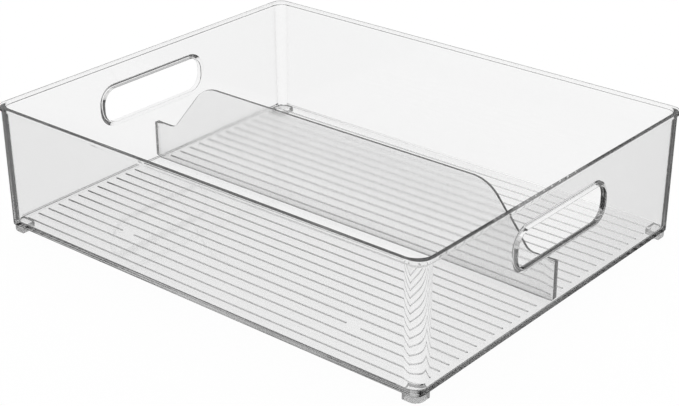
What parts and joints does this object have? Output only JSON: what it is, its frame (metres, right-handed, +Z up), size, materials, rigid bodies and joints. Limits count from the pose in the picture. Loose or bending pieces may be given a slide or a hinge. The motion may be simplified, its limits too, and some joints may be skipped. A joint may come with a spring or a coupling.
{
  "type": "fridge storage bin",
  "caption": "Clear open-topped fridge bin with an overhanging rim, an oblong collared handle opening in each short wall, a ribbed floor, corner feet and a lift-out lengthwise divider.",
  "frame": {"origin": "on the surface the bin stands on, below the middle of the bin", "axes": "+X along the long side towards the right handle, +Y from the front to the back, +Z up out of the open top"},
  "size_m": [0.38, 0.303, 0.098],
  "materials": {
    "clear_tray": "clear, polished moulded plastic with a faint neutral grey tint",
    "clear_divider": "clear, polished moulded plastic, a little greyer than the tray",
    "clear_foot": "clear, slightly soft plastic"
  },
  "bodies": {
    "tray": {"bin_tray": "clear_tray", "foot_front_left": "clear_foot", "foot_front_right": "clear_foot", "foot_back_left": "clear_foot", "foot_back_right": "clear_foot"},
    "divider": {"divider_panel": "clear_divider"}
  },
  "joints": [
    {"name": "divider_lift", "type": "slide", "parent": "tray", "child": "divider", "axis": [0, 0, 1], "range_m": [0, 0.095]}
  ]
}
